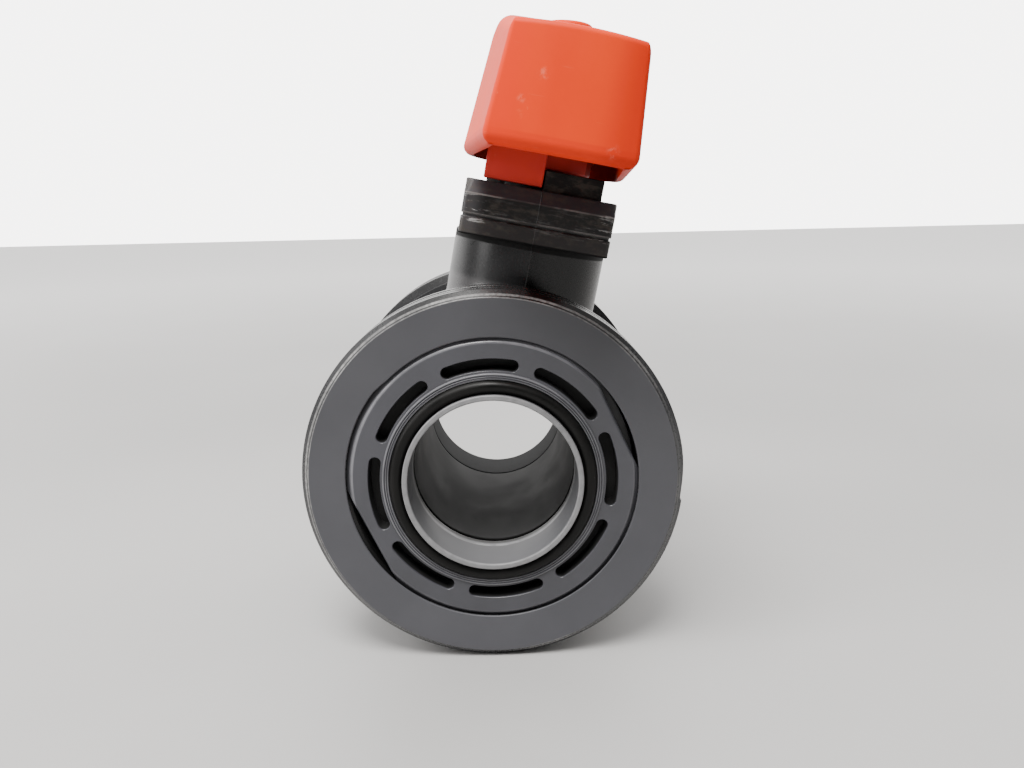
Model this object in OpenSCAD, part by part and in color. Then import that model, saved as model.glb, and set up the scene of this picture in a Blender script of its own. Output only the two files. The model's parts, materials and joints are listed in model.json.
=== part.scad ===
// Plastic ball valve of the union type, without its end nuts and pipe connectors.
// The flow axis is Y, the stem axis is Z, and they cross at the centre of the ball.
// The valve is drawn open: the lever lies along the flow axis and points to -Y.
// Front means the -Y end, where the seat carrier is screwed in.

/* [Flow passage] */
// Radius of the straight passage through the ball and both ends
bore_r = 25.4; // [25:0.1:26]
// Radius of the ball
ball_r = 42.5; // [42:0.1:42.8]
// Gap between the ball and each seat
seat_gap = 0.25; // [0.2:0.05:0.4]

/* [Body ends] */
// Distance between the two end faces of the body
face_to_face = 101.6; // [100.6:0.2:103]
// Crest radius of the threads for the union nuts
union_r = 57.5; // [57:0.1:59]
// Root radius of the threads for the union nuts
union_root_r = 54.6; // [54:0.1:55.5]
// Distance from one thread crest to the next
union_pitch = 6.35; // [6:0.05:6.6]
// Thread crests on each end
union_turns = 3; // [2:1:3]
// Height that the inner lips stand out of the end faces
lip_rise = 2.5; // [1:0.1:3]

/* [Neck and pad] */
// Radius of the barrel between the threads
barrel_r = 51.5; // [50:0.5:53]
// Radius of the round neck that holds the stem
neck_r = 25.4; // [24:0.1:27]
// Width of the pad on the neck, across the flow
pad_w = 47.3; // [46:0.1:50]
// Length of the pad along the flow
pad_l = 53; // [51:0.5:54]
// Height of the pad's underside above the flow axis
pad_low = 69.5; // [68:0.1:71]
// Height of the pad's top above the flow axis
pad_top = 86.4; // [85:0.1:88]
// Height of the two travel stops on the pad
stop_h = 6.3; // [4:0.1:6.4]

/* [Seat retainer] */
// Radius of the opening in the front face, which lets the ball in
chamber_r = 43.6; // [43.3:0.1:44]
// Thickness of the retainer ring
retainer_t = 8.1; // [7:0.1:8.2]
// Tool slots in the retainer
slot_count = 8; // [4:1:8]
// Angle that each tool slot spans
slot_span = 37; // [20:1:38]
// Turn of the first slot from the top of the ring
slot_turn = -16.5; // [-22:1:22]
// Turn of the two flats from the top of the ring
flat_turn = 54; // [0:1:90]

/* [Lever] */
// Distance from the stem axis to the lever's tip
lever_l = 88; // [70:1:120]
// Half width of the tip along its lower rim
tip_low_w = 18.9; // [16:0.1:24]
// Half width of the tip along its top
tip_top_w = 16.7; // [14:0.1:22]
// Height of the tip's top above the flow axis
tip_top = 122; // [116:0.5:126]
// Radius of the hub along its lower rim
hub_low_r = 27.4; // [26:0.1:30]
// Radius of the hub at its top
hub_top_r = 23.8; // [20:0.1:25]
// Height of the hub's top above the flow axis
hub_top = 135.8; // [135:0.1:139]
// Height of the lever's lower rim above the flow axis
rim_z = 93.8; // [93.5:0.1:96]
// Thickness of the lever's moulded wall
wall_t = 3.2; // [2.4:0.1:4]

/* [Hidden] */
$fn = 96;

// Axial places along Y, measured from the centre of the ball
face_y = face_to_face / 2;
lip_y = face_y + lip_rise;
nose_y = sqrt(ball_r * ball_r - bore_r * bore_r) + 0.5;
retainer_face = face_y - 0.2;
retainer_back = retainer_face - retainer_t;
chamber_end = 28;

// End faces and union threads
end_chamfer = 2.3;
end_face_r = union_r - end_chamfer;
crest_w = 3;
flank_w = 1.3;
collar_l = end_chamfer + crest_w + flank_w + (union_turns - 1) * union_pitch;

// Grooves in the end faces for the face seals
lip_r = bore_r + 1.7;
face_groove_r = 31.2;
face_groove_d = 2.3;
face_ring_mid = (lip_r + face_groove_r) / 2;
face_ring_r = (face_groove_r - lip_r) / 2 - 0.03;
face_ring_y = face_y - face_groove_d + face_ring_r + 0.03;

// Pocket that holds each seat, and its elastic ring behind it
nose_r = bore_r + 2.8;
pocket_r = 36.5;
pocket_y = 39.7;
cushion_r = 1.5;
cushion_mid = (nose_r + pocket_r) / 2;
cushion_y = pocket_y - cushion_r - 0.05;
seat_back_y = cushion_y - cushion_r - 0.05;
seat_front_y = 26;
seat_clear = 0.1;

// Seat carrier and its seal
carrier_r = chamber_r - 0.3;
carrier_neck_r = face_groove_r - 0.2;
carrier_ring_r = 1.5;
carrier_ring_y = 35.5;
carrier_groove_w = 3.6;
carrier_groove_r = chamber_r - 2 * carrier_ring_r - 0.1;

// Retainer ring and its thread
retainer_r = chamber_r - 0.8;
retainer_rim_r = 33;
retainer_rim_h = 0.6;
retainer_pitch = 2.5;
retainer_turns = 3;
retainer_tooth = 1.6;
retainer_tooth_y = retainer_face - 1.8;
tooth_low_w = 1.8;
tooth_top_w = 0.7;
tooth_clear = 0.2;
slot_half_w = 1.7;
slot_mid_r = 35.65;
slot_d = 6.4;
slot_arc = slot_span - 2 * asin(slot_half_w / slot_mid_r);
flat_half_angle = 17.5;
flat_r = retainer_r * cos(flat_half_angle);

// Stem
stem_r = 12;
stem_bore_r = stem_r + 0.08;
collar_r = 15;
collar_low = ball_r + 0.8;
collar_top = collar_low + 5;
washer_t = 1;
recess_top = collar_top + washer_t + 0.2;
tang_w = 25;
tang_t = 8;
tang_low = 35.3;
slot_floor = tang_low - 0.3;
tang_clear = 0.1;
square_w = 16;
square_low = pad_top + 2.2;
square_top = 117.5;
stem_ring_r = 1.1;
stem_groove_r = stem_r - 2 * stem_ring_r - 0.05;
stem_groove_w = 2.5;
stem_ring_z = [58, 68];

// Neck flare and the pad's edges
flare_r = 2.5;
flare_z = 48;
pad_corner_r = 1.5;
pad_chamfer_h = 4.4;
pad_chamfer_d = 1.6;
pad_groove_z = pad_low + 5.4;
pad_groove_h = 1.2;
pad_groove_d = 0.9;

// Travel stops on the pad and the lugs that meet them under the lever
stop_w = 18.7;
stop_in = 14;
stop_out = 22.4;
stop_gap = 0.25;
lug_low = pad_top + 0.9;

// Lever
tip_r = 3.5;
hub_round = 4;
boss_r = 15.5;
boss_low = pad_top + stop_h + 0.5;
rib_t = 2.4;
rib_x = 8;
rib_y = 58;
rib_rise = 7;
rib_overlap = 6;
hollow_drop = 8;
lug_rise = 5;
lug_web_inset = 6;
lug_web_l = 14.4;
lug_web_h = 9;
socket_clear = 0.1;
screw_r = 3;
screw_head_r = 5.2;
screw_head_h = 3.6;
screw_hole_r = 3.3;
screw_seat = 126;
screw_low = 102;
screw_slot_l = 6.4;
screw_slot_w = 1.2;
screw_slot_d = 1.8;
lever_washer_r = 6.4;
lever_washer_t = 1.2;
cap_r = 8;
cap_rise = 3.6;
cap_seat_r = 7;
cap_skirt = 3;
cap_edge_r = 1.2;

// Colours
body_grey = [0.36, 0.36, 0.38];
ring_grey = [0.34, 0.34, 0.37];
carrier_grey = [0.56, 0.56, 0.56];
rubber_black = [0.10, 0.10, 0.10];
seat_white = [0.92, 0.92, 0.88];
lever_orange = [0.89, 0.36, 0.20];
steel = [0.72, 0.73, 0.74];

// Turns a profile's second axis onto the flow axis
module along_flow() rotate([-90, 0, 0]) children();

// A ring about the flow axis from a profile of [radius, y] points
module flow_ring(points) along_flow() rotate_extrude() polygon(points);

// A round ring about the flow axis
module flow_o_ring(mid_r, wire_r, y)
    along_flow() translate([0, 0, y]) rotate_extrude() translate([mid_r, 0]) circle(r = wire_r, $fn = 48);

// A round ring about the stem axis
module stem_o_ring(z)
    translate([0, 0, z]) rotate_extrude() translate([stem_r - stem_ring_r - 0.02, 0])
        circle(r = stem_ring_r, $fn = 48);

// A cylinder along the flow axis between two places on it
module flow_bar(r, y0, y1) along_flow() translate([0, 0, y0]) cylinder(r = r, h = y1 - y0);

// A square block about the stem axis between two heights
module stem_block(x, y, z0, z1) translate([-x / 2, -y / 2, z0]) cube([x, y, z1 - z0]);

// One crest of the union thread, for the rear end
module union_crest(y)
    flow_ring([[union_root_r - 1, y - crest_w / 2 - flank_w], [union_root_r, y - crest_w / 2 - flank_w],
        [union_r, y - crest_w / 2], [union_r, y + crest_w / 2],
        [union_root_r, y + crest_w / 2 + flank_w], [union_root_r - 1, y + crest_w / 2 + flank_w]]);

// Threaded collar of the rear end: a chamfered end crest and the crests behind it
module threaded_collar() {
    first = face_y - end_chamfer - crest_w / 2;
    flow_bar(union_root_r, face_y - collar_l, face_y - 1);
    flow_ring([[bore_r, first], [union_r, first], [union_r, face_y - end_chamfer],
        [end_face_r, face_y], [bore_r, face_y]]);
    for (k = [0:union_turns - 1]) union_crest(first - k * union_pitch);
}

// Pad with small round corners, a groove round it and a bevel on its front and back
module pad() {
    half_w = pad_w / 2;
    half_l = pad_l / 2;
    difference() {
        union() {
            stem_block(pad_w - 2 * pad_corner_r, pad_l, pad_low, pad_top);
            stem_block(pad_w, pad_l - 2 * pad_corner_r, pad_low, pad_top);
            for (x = [-1, 1], y = [-1, 1])
                translate([x * (half_w - pad_corner_r), y * (half_l - pad_corner_r), pad_low])
                    cylinder(r = pad_corner_r, h = pad_top - pad_low, $fn = 24);
        }
        for (s = [0, 1]) mirror([0, s, 0])
            translate([-half_w - 1, -half_l, pad_top - pad_chamfer_h])
                rotate([90, 0, 90]) linear_extrude(pad_w + 2)
                    polygon([[-1, 0], [0, 0], [pad_chamfer_d, pad_chamfer_h + 1], [-1, pad_chamfer_h + 1]]);
        difference() {
            stem_block(pad_w + 2, pad_l + 2, pad_groove_z, pad_groove_z + pad_groove_h);
            stem_block(pad_w - 2 * pad_groove_d, pad_l - 2 * pad_groove_d,
                pad_groove_z - 1, pad_groove_z + pad_groove_h + 1);
        }
    }
}

// Outline of a stop: it fills one eighth of a turn, up to the diagonal
module stop_outline()
    polygon([[stop_gap, -stop_out], [stop_w, -stop_out], [stop_w, -stop_w - stop_gap],
        [stop_in - stop_gap, -stop_in], [stop_gap, -stop_in]]);

// Round neck with a flare where it meets the barrel
module neck() {
    cylinder(r = neck_r, h = pad_low + 1);
    rotate_extrude() polygon(concat([[0, flare_z - 12], [neck_r + flare_r, flare_z - 12]],
        [for (a = [0:10:90]) [neck_r + flare_r * (1 - sin(a)), flare_z + flare_r * (1 - cos(a))]],
        [[0, flare_z + flare_r]]));
}

// Pocket behind a seat: the rear one is cut in the body
module seat_pocket()
    flow_ring([[nose_r, chamber_end - 1], [pocket_r, chamber_end - 1], [pocket_r, pocket_y], [nose_r, pocket_y]]);

module body() color(body_grey) difference() {
    union() {
        flow_bar(barrel_r, -face_y + collar_l - 1, face_y - collar_l + 1);
        for (s = [0, 1]) mirror([0, s, 0]) threaded_collar();
        flow_ring([[bore_r, face_y - 1], [lip_r, face_y - 1], [lip_r, lip_y], [bore_r, lip_y]]);
        neck();
        pad();
        for (turn = [0, 180]) rotate([0, 0, turn])
            translate([0, 0, pad_top - 1]) linear_extrude(stop_h + 1) stop_outline();
    }
    flow_bar(chamber_r, -face_y - 1, chamber_end);
    flow_bar(nose_r, chamber_end - 1, nose_y);
    flow_bar(bore_r, chamber_end, lip_y + 1);
    seat_pocket();
    flow_ring([[lip_r, face_y - face_groove_d], [face_groove_r, face_y - face_groove_d],
        [face_groove_r, face_y + 1], [lip_r, face_y + 1]]);
    for (k = [0:retainer_turns - 1])
        retainer_tooth(-retainer_tooth_y + k * retainer_pitch, tooth_clear);
    cylinder(r = stem_bore_r, h = pad_top + 1);
    cylinder(r = collar_r + 0.4, h = recess_top);
}

// One tooth of the retainer's thread; the body's groove is the same, with clearance
module retainer_tooth(y, clear) {
    low = tooth_low_w / 2 + clear;
    top = tooth_top_w / 2 + clear;
    flow_ring([[retainer_r - 1, y - low], [retainer_r, y - low],
        [retainer_r + retainer_tooth + clear, y - top],
        [retainer_r + retainer_tooth + clear, y + top],
        [retainer_r, y + low], [retainer_r - 1, y + low]]);
}

// A tool slot with round ends, sunk into the front of the retainer
module tool_slot() along_flow() translate([0, 0, -retainer_face - 1]) {
    rotate([0, 0, -90 - slot_arc / 2]) rotate_extrude(angle = slot_arc)
        translate([slot_mid_r - slot_half_w, 0]) square([2 * slot_half_w, slot_d + 1]);
    for (s = [-1, 1]) rotate([0, 0, -90 + s * slot_arc / 2])
        translate([slot_mid_r, 0, 0]) cylinder(r = slot_half_w, h = slot_d + 1, $fn = 32);
}

module seat_retainer() color(ring_grey) difference() {
    union() {
        flow_ring([[face_groove_r, -retainer_face - retainer_rim_h],
            [retainer_rim_r - 0.4, -retainer_face - retainer_rim_h], [retainer_rim_r, -retainer_face],
            [retainer_r - 0.5, -retainer_face], [retainer_r, -retainer_face + 0.5],
            [retainer_r, -retainer_back], [face_groove_r, -retainer_back]]);
        for (k = [0:retainer_turns - 1]) retainer_tooth(-retainer_tooth_y + k * retainer_pitch, 0);
    }
    for (k = [0:slot_count - 1]) rotate([0, slot_turn + k * 360 / slot_count, 0]) tool_slot();
    for (turn = [0, 180]) rotate([0, flat_turn + turn, 0])
        translate([-chamber_r, -face_y - 5, flat_r]) cube([2 * chamber_r, face_y, 10]);
}

module seat_carrier() color(carrier_grey) flow_ring([
    [bore_r, -lip_y + 0.4], [bore_r + 0.4, -lip_y], [lip_r - 0.4, -lip_y], [lip_r, -lip_y + 0.4],
    [lip_r, -face_y + face_groove_d], [carrier_neck_r, -face_y + face_groove_d],
    [carrier_neck_r, -retainer_back + 0.1], [carrier_r, -retainer_back + 0.1],
    [carrier_r, -carrier_ring_y - carrier_groove_w / 2],
    [carrier_groove_r, -carrier_ring_y - carrier_groove_w / 2],
    [carrier_groove_r, -carrier_ring_y + carrier_groove_w / 2],
    [carrier_r, -carrier_ring_y + carrier_groove_w / 2],
    [carrier_r, -chamber_end], [pocket_r, -chamber_end], [pocket_r, -pocket_y],
    [nose_r, -pocket_y], [nose_r, -nose_y], [bore_r, -nose_y]]);

module carrier_o_ring() color(rubber_black)
    flow_o_ring(chamber_r - carrier_ring_r - 0.05, carrier_ring_r, -carrier_ring_y);

module front_face_o_ring() color(rubber_black) flow_o_ring(face_ring_mid, face_ring_r, -face_ring_y);

module rear_face_o_ring() color(rubber_black) flow_o_ring(face_ring_mid, face_ring_r, face_ring_y);

// Rear seat: a ring hollowed to the ball's curve
module seat() difference() {
    flow_ring([[nose_r + seat_clear, seat_front_y], [pocket_r - seat_clear, seat_front_y],
        [pocket_r - seat_clear, seat_back_y], [nose_r + seat_clear, seat_back_y]]);
    sphere(r = ball_r + seat_gap);
}

module front_seat() color(seat_white) mirror([0, 1, 0]) seat();

module rear_seat() color(seat_white) seat();

module front_seat_cushion() color(rubber_black) flow_o_ring(cushion_mid, cushion_r, -cushion_y);

module rear_seat_cushion() color(rubber_black) flow_o_ring(cushion_mid, cushion_r, cushion_y);

module ball() color(body_grey) difference() {
    sphere(r = ball_r);
    flow_bar(bore_r, -ball_r - 1, ball_r + 1);
    stem_block(tang_w + 1, tang_t + 2 * tang_clear, slot_floor, ball_r + 1);
}

module stem() color(body_grey) difference() {
    union() {
        stem_block(tang_w, tang_t, tang_low, collar_low + 1);
        translate([0, 0, collar_low]) cylinder(r = collar_r, h = collar_top - collar_low);
        translate([0, 0, collar_low]) cylinder(r = stem_r, h = square_low - collar_low);
        stem_block(square_w, square_w, square_low - 1, square_top);
    }
    for (z = stem_ring_z) translate([0, 0, z - stem_groove_w / 2]) difference() {
        cylinder(r = stem_r + 1, h = stem_groove_w);
        translate([0, 0, -1]) cylinder(r = stem_groove_r, h = stem_groove_w + 2);
    }
    translate([0, 0, screw_low - 2]) cylinder(r = screw_r + 0.05, h = square_top - screw_low + 3);
}

module lower_stem_o_ring() color(rubber_black) stem_o_ring(stem_ring_z[0]);

module upper_stem_o_ring() color(rubber_black) stem_o_ring(stem_ring_z[1]);

module stem_thrust_washer() color(seat_white) translate([0, 0, recess_top - washer_t - 0.05]) difference() {
    cylinder(r = collar_r + 0.3, h = washer_t);
    translate([0, 0, -1]) cylinder(r = stem_r + 0.3, h = washer_t + 2);
}

// The lever's outer form, or its hollow when shrunk by inset and dropped below the rim
module lever_form(inset, drop) hull() {
    translate([0, 0, rim_z - drop]) cylinder(r = hub_low_r - inset, h = 1, $fn = 64);
    translate([0, 0, hub_top - hub_round - inset - 1]) cylinder(r = hub_top_r - inset, h = 1, $fn = 64);
    translate([0, 0, hub_top - inset - 1]) cylinder(r = hub_top_r - hub_round - inset, h = 1, $fn = 64);
    for (s = [-1, 1]) {
        translate([s * (tip_low_w - tip_r), -lever_l + tip_r, rim_z - drop])
            cylinder(r = tip_r - inset / 2, h = 1, $fn = 32);
        translate([s * (tip_top_w - tip_r - inset / 2), -lever_l + tip_r + inset / 2, tip_top - tip_r - inset / 2])
            sphere(r = tip_r - inset / 2, $fn = 32);
    }
}

// A lug under the lever that meets a travel stop
module lug() mirror([1, 0, 0]) {
    translate([0, 0, lug_low]) linear_extrude(boss_low + lug_rise - lug_low) stop_outline();
    translate([stop_gap, -stop_out, boss_low]) cube([stop_w - lug_web_inset, lug_web_l, lug_web_h]);
}

module lever() color(lever_orange) difference() {
    union() {
        difference() {
            lever_form(0, 0);
            lever_form(wall_t, hollow_drop);
        }
        translate([0, 0, boss_low]) cylinder(r = boss_r, h = hub_top - wall_t + 1 - boss_low);
        for (turn = [0, 180]) rotate([0, 0, turn]) lug();
        intersection() {
            lever_form(wall_t / 2, 0);
            for (s = [-1, 1]) translate([s * rib_x - rib_t / 2, -rib_y, rim_z + rib_rise])
                cube([rib_t, rib_y - boss_r + rib_overlap, hub_top - rim_z]);
        }
    }
    stem_block(square_w + 2 * socket_clear, square_w + 2 * socket_clear, boss_low - 1, square_top + 0.5);
    translate([0, 0, square_top]) cylinder(r = screw_hole_r, h = hub_top - square_top);
    translate([0, 0, screw_seat]) cylinder(r = cap_seat_r, h = hub_top - screw_seat + 1);
}

module lever_washer() color(steel) translate([0, 0, screw_seat + 0.05]) difference() {
    cylinder(r = lever_washer_r, h = lever_washer_t);
    translate([0, 0, -1]) cylinder(r = screw_hole_r, h = lever_washer_t + 2);
}

module lever_screw() color(steel) difference() {
    union() {
        translate([0, 0, screw_low]) cylinder(r = screw_r, h = screw_seat + lever_washer_t + 1 - screw_low);
        translate([0, 0, screw_seat + lever_washer_t + 0.1]) cylinder(r = screw_head_r, h = screw_head_h);
    }
    head_top = screw_seat + lever_washer_t + 0.1 + screw_head_h;
    for (turn = [0, 90]) rotate([0, 0, turn])
        stem_block(screw_slot_l, screw_slot_w, head_top - screw_slot_d, head_top + 1);
}

module hub_cap() color(lever_orange) translate([0, 0, hub_top]) rotate_extrude()
    polygon(concat([[0, 0.05], [0, -cap_skirt], [cap_seat_r - 0.1, -cap_skirt], [cap_seat_r - 0.1, 0.05],
        [cap_r, 0.05]],
        [for (a = [0:15:90]) [cap_r - cap_edge_r * (1 - cos(a)), cap_rise - cap_edge_r * (1 - sin(a))]],
        [[0, cap_rise]]));

body();
seat_retainer();
seat_carrier();
carrier_o_ring();
front_face_o_ring();
rear_face_o_ring();
front_seat();
rear_seat();
front_seat_cushion();
rear_seat_cushion();
ball();
stem();
lower_stem_o_ring();
upper_stem_o_ring();
stem_thrust_washer();
lever();
lever_screw();
lever_washer();
hub_cap();
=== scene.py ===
"""Looks of a plastic union ball valve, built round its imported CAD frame.

Lengths are in millimetres in the frame's own axes: Y is the flow axis, Z the stem axis, and the lever points
to -Y.
"""
import functools
import json
from math import acos, asin, atan, atan2, copysign, cos, hypot, pi, radians, sin, sqrt, tan, tau

import bmesh
import bpy
import numpy as np
from mathutils import Matrix, Vector


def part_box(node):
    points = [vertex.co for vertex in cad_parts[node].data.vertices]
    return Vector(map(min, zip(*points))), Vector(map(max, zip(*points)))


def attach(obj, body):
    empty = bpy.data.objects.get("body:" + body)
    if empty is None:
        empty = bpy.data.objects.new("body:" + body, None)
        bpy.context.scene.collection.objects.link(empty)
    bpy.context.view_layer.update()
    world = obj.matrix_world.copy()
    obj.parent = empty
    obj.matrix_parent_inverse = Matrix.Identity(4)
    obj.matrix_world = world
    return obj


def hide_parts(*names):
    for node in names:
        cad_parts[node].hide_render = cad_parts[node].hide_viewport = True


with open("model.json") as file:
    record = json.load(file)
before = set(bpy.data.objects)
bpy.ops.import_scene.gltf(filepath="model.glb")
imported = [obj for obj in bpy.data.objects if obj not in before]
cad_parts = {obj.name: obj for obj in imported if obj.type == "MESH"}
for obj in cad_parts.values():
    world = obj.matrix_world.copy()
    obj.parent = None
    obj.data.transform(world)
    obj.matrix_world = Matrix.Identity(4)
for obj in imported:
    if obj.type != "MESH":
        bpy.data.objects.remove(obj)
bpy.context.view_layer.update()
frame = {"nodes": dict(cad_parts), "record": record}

# ---------------- sizes
MM = 0.001
MOUNTS = {m["name"]: m for m in frame["record"]["mounts"]}
BOX = {n: tuple(np.array(c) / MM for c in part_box(n)) for n in frame["nodes"]}

BORE_R = MOUNTS["flow_bore"]["dims"]["r_mm"]
UNION_R = MOUNTS["front_union_thread"]["dims"]["r_mm"]
FACE_Y = MOUNTS["rear_seal_face"]["pos_m"][1] / MM
LIP_Y = round(BOX["body"][1][1], 2)
BALL_R = 42.5

# Body: end rings, union threads, barrel
END_CHAMFER = 2.3
FACE_R = UNION_R - END_CHAMFER
CREST_W = 3.0
FLANK_W = 1.3
ROOT_R = UNION_R - 2.9
PITCH = 6.35
COLLAR_L = 19.3
BARREL_R = 51.5
CHAMBER_R = 43.6
CHAMBER_END = 28.0
POCKET_R = 36.5
POCKET_Y = 39.7
NOSE_R = BORE_R + 2.8
NOSE_Y = sqrt(BALL_R ** 2 - BORE_R ** 2) + 0.5
LIP_R = BORE_R + 1.7
FACE_GROOVE_R = 31.2
FACE_GROOVE_D = 2.3
THREAD_START = radians(86.5)
THREAD_STEP = 0.55
THREAD_STEP_REACH = radians(16)
THREAD_RUN_OUT = radians(28)
THREAD_FOOT_R = ROOT_R - 0.6
THREAD_COLUMNS = 144
MOUTH_START = radians(305)
MOUTH_REACH = radians(110)
MOUTH_RISE = radians(7)
MOUTH_W = 0.75
INNER_ROOT_R = CHAMBER_R + 1.0

# Neck, pad and travel stops
NECK_R = 25.4
NECK_FLARE = 5.5
STEM_BORE_R = 12.08
STEM_COLLAR_R = 15.4
STEM_RECESS_Z = 49.6
PAD_HALF_W = 23.65
PAD_HALF_L = 26.5
PAD_LOW = 69.5
PAD_TOP = 86.4
PAD_CORNER_R = 1.6
PAD_GROOVE_Z = 74.9
PAD_GROOVE_H = 0.9
PAD_GROOVE_D = 0.5
PAD_BEVEL_H = 4.4
PAD_BEVEL_D = 1.6
PAD_EDGE_R = 0.5
PAD_GROOVE_EDGE_R = 0.22
NECK_SHOULDER_Z = PAD_LOW + 1.0
NECK_SHOULDER_R = 0.9
STOP_TOP = BOX["body"][1][2]
STOP_W = 18.7
STOP_IN = 14.0
STOP_OUT = 22.4
STOP_GAP = 0.25
STOP_EDGE_R = 0.4

# Retainer ring
RETAINER_R = CHAMBER_R - 0.8
RETAINER_FACE = FACE_Y - 0.2
RETAINER_T = 8.1
RIM_R = 33.0
RIM_H = 0.6
SLOTS = 8
SLOT_R = 35.65
SLOT_HALF_W = 1.7
SLOT_SPAN = radians(37)
SLOT_TURN = radians(-16.5)
SLOT_D = 6.4
SLOT_EDGE_R = 0.85
FLAT_TURN = radians(54)
FLAT_R = RETAINER_R * cos(radians(17.5))
TOOTH_PITCH = 2.5
TOOTH_H = 1.6
TOOTH_Y = RETAINER_FACE - 1.8
RING_INNER_R = FACE_GROOVE_R + 0.9

# Carrier and ball
CARRIER_GROOVE_Y = -35.5
CARRIER_GROOVE_HALF_W = 1.8
CARRIER_GROOVE_R = CHAMBER_R - 3.1
BALL_SLOT_HALF_L = 13.0
BALL_SLOT_HALF_W = 4.1
BALL_SLOT_LOW = 35.0

# Lever
LEVER_L = -BOX["lever"][0][1]
RIM_Z = 93.8
HUB_TOP = BOX["lever"][1][2]
HUB_LOW_R = 27.4
HUB_TOP_R = 23.8
TIP_LOW_W = 18.9
TIP_TOP_W = 16.7
TIP_TOP = 122.0
TIP_CORNER_R = 1.6
TIP_BULGE = 1.3
ROOF_BEND = HUB_TOP_R - 2.6
ROOF_SOFT = 2.0
ROOF_CROWN = 0.7
WALL_T = 3.2
TOP_EDGE_R = 3.0
HUB_EDGE_R = 4.6
TIP_EDGE_R = 1.5
RIM_EDGE_R = 2.9
INNER_RIM_R = 0.35
INNER_ROOF_R = 1.6
RIB_X = 8.0
RIB_T = 2.4
RIB_LOW = 101.0
RIB_FRONT = -58.0
RIB_BACK = -9.5
BOSS_R = 15.5
BOSS_LOW = 93.2
LUG_LOW = 87.3
LUG_EDGE_R = 0.45
SQUARE_W = 16.2
SQUARE_TOP = 118.0
SCREW_HOLE_R = 3.3
SCREW_SEAT = 126.0
CAP_SEAT_R = 7.0
CAP_R = 8.0
CAP_TOP = BOX["hub_cap"][1][2]
CAP_TILT = radians(5.5)
PALE_SPOTS = [((-7.2, -88.0, 111.2), 2.0), ((-11.2, -88.0, 105.0), 1.6), ((12.0, -86.5, 97.0), 2.4)]


# ---------------- mesh tools
def new_object(name, data):
    """An object of a mesh, a light or a camera, linked to the scene."""
    made = bpy.data.objects.new(name, data)
    bpy.context.scene.collection.objects.link(made)
    return made


def from_bmesh(name, bm):
    """An object of a finished bmesh, which is freed."""
    mesh = bpy.data.meshes.new(name)
    bm.to_mesh(mesh)
    bm.free()
    return new_object(name, mesh)


def mesh_object(name, verts, faces, on_axis=False):
    """An object from points in millimetres and faces, turned outwards; on_axis drops its empty faces."""
    mesh = bpy.data.meshes.new(name)
    mesh.from_pydata((np.asarray(verts, float) * MM).tolist(), [], faces)
    bm = bmesh.new()
    bm.from_mesh(mesh)
    bmesh.ops.remove_doubles(bm, verts=bm.verts, dist=1e-6)
    bmesh.ops.recalc_face_normals(bm, faces=bm.faces)
    if on_axis:
        bmesh.ops.dissolve_degenerate(bm, dist=1e-7, edges=bm.edges)
    bm.to_mesh(mesh)
    bm.free()
    return new_object(name, mesh)


def smooth(made, angle=32):
    """Smooth shading that keeps flat faces flat and edges over the angle sharp."""
    mesh = made.data
    mesh.polygons.foreach_set("use_smooth", [True] * len(mesh.polygons))
    mesh.set_sharp_from_angle(angle=radians(angle))
    weighted = made.modifiers.new("even_normals", "WEIGHTED_NORMAL")
    weighted.keep_sharp = True
    weighted.weight = 60
    return made


def apply_modifiers(made):
    """Turns an object's modifiers into its mesh."""
    bpy.context.view_layer.update()
    graph = bpy.context.evaluated_depsgraph_get()
    mesh = bpy.data.meshes.new_from_object(made.evaluated_get(graph))
    made.modifiers.clear()
    made.data = mesh
    return made


def combine(made, tools, operation):
    """Cuts tools out of an object, or joins them to it, and removes them."""
    for tool in tools:
        cut = made.modifiers.new(operation.lower(), "BOOLEAN")
        cut.operation = operation
        cut.solver = "EXACT"
        cut.object = tool
    apply_modifiers(made)
    for tool in tools:
        bpy.data.objects.remove(tool)
    return made


def merge(name, parts):
    """One object from several closed ones, kept as separate shells."""
    bm = bmesh.new()
    for part in parts:
        bm.from_mesh(part.data)
        bpy.data.objects.remove(part)
    return from_bmesh(name, bm)


def grid_faces(rows, columns, wrap_rows=True):
    """Quads over a grid of points numbered row by row, with each row closed."""
    faces = []
    for i in range(rows if wrap_rows else rows - 1):
        for j in range(columns):
            a, b = i * columns, (i + 1) % rows * columns
            k = (j + 1) % columns
            faces.append((a + j, a + k, b + k, b + j))
    return faces


def quarter(steps):
    """Round a rounded edge of radius 1: how far each point lies inside the wall and below the top."""
    turns = [radians(90 * k / steps) for k in range(steps + 1)]
    return [(1 - cos(t), 1 - sin(t)) for t in turns]


def box_outline(x0, y0, x1, y1):
    return [(x0, y0), (x1, y0), (x1, y1), (x0, y1)]


def round_profile(points, steps=4):
    """A closed outline of (u, v, radius) corners, with each corner turned into an arc."""
    out = []
    for i, (u, v, radius) in enumerate(points):
        here = np.array((u, v), float)
        back = np.array(points[i - 1][:2], float) - here
        ahead = np.array(points[(i + 1) % len(points)][:2], float) - here
        back_l, ahead_l = np.linalg.norm(back), np.linalg.norm(ahead)
        back, ahead = back / back_l, ahead / ahead_l
        half = acos(max(-1.0, min(1.0, back @ ahead))) / 2
        reach = min(radius / tan(half), 0.45 * back_l, 0.45 * ahead_l) if radius else 0
        if reach < 1e-4:
            out.append(here)
            continue
        arc_r = reach * tan(half)
        middle = (back + ahead) / np.linalg.norm(back + ahead)
        centre = here + middle * arc_r / sin(half)
        first, last = here + back * reach - centre, here + ahead * reach - centre
        sweep = acos(max(-1.0, min(1.0, first @ last / arc_r ** 2)))
        for k in range(steps + 1):
            t = k / steps
            spoke = first * sin((1 - t) * sweep) + last * sin(t * sweep)
            out.append(centre + spoke / sin(sweep))
    return np.array(out)


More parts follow.
